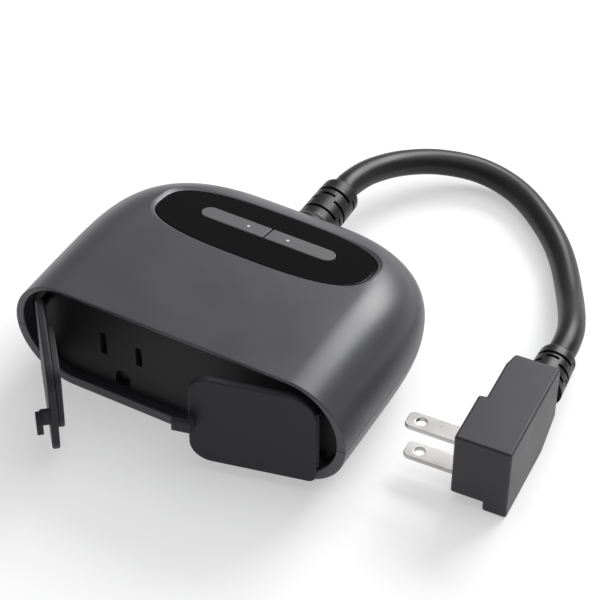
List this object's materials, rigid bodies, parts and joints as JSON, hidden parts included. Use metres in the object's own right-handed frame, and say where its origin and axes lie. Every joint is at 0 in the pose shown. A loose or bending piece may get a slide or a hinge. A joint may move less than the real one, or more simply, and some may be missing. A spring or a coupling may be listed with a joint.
{
  "type": "smart plug",
  "caption": "Outdoor smart plug with a domed housing, hinged outlet covers, an oval control panel with push buttons, and a short cord to a right-angle plug.",
  "frame": {"origin": "centre of the flat back of the housing, which the object lies on", "axes": "+Z from the back through the control panel, -Y out of the outlets, +Y along the cord exit, +X to the right when facing the outlets with the panel up"},
  "size_m": [0.1599, 0.1922, 0.0424],
  "materials": {
    "shell": "fine satin texture",
    "door": "satin",
    "receptacle": "satin",
    "panel": "polished",
    "button": "satin",
    "light_guide": "clear, unlit",
    "seal": "matt",
    "cord_jacket": "soft sheen",
    "plug": "soft sheen",
    "blade": "bright nickel plate",
    "contact": "bare",
    "board": "solder mask",
    "relay": "moulded",
    "winding_tape": "tape",
    "module": "plain",
    "steel": "zinc plate"
  },
  "bodies": {
    "housing": {"button_seal": "seal", "control_board": "board", "control_panel": "panel", "filter_capacitor": "relay", "front_shell": "shell", "fuse": "module", "hot_blade": "blade", "housing_screw_1": "steel", "housing_screw_2": "steel", "housing_screw_3": "steel", "housing_screw_4": "steel", "left_ground_contact": "contact", "left_hinge_pin": "steel", "left_hot_contact": "contact", "left_neutral_contact": "contact", "main_board": "board", "neutral_blade": "blade", "plug_body": "plug", "plug_relief": "cord_jacket", "power_cord": "cord_jacket", "power_transformer": "winding_tape", "rear_cover": "shell", "receptacle_face": "receptacle", "relay_left": "relay", "relay_right": "relay", "right_ground_contact": "contact", "right_hinge_pin": "steel", "right_hot_contact": "contact", "right_neutral_contact": "contact", "seam_gasket_left": "seal", "seam_gasket_right": "seal", "strain_relief": "cord_jacket", "switch_left": "module", "switch_right": "module", "wifi_module": "module"},
    "left_door": {"left_door": "door", "left_door_seal": "seal"},
    "right_door": {"right_door": "door", "right_door_seal": "seal"},
    "button_left": {"button_left": "button", "led_left": "light_guide"},
    "button_right": {"button_right": "button", "led_right": "light_guide"}
  },
  "joints": [
    {"name": "right_door_hinge", "type": "hinge", "parent": "housing", "child": "right_door", "pos_m": [0.0476, -0.0402, 0.0213], "axis": [0, 0, 1], "range_deg": [-13.5, 81.5]},
    {"name": "left_door_hinge", "type": "hinge", "parent": "housing", "child": "left_door", "pos_m": [-0.0476, -0.0402, 0.0213], "axis": [0, 0, -1], "range_deg": [-51, 44]},
    {"name": "left_button_press", "type": "slide", "parent": "housing", "child": "button_left", "axis": [0, -0.2028, -0.9792], "range_m": [0, 0.0008], "stiffness_N_per_m": 600},
    {"name": "right_button_press", "type": "slide", "parent": "housing", "child": "button_right", "axis": [0, -0.2028, -0.9792], "range_m": [0, 0.0008], "stiffness_N_per_m": 600}
  ]
}
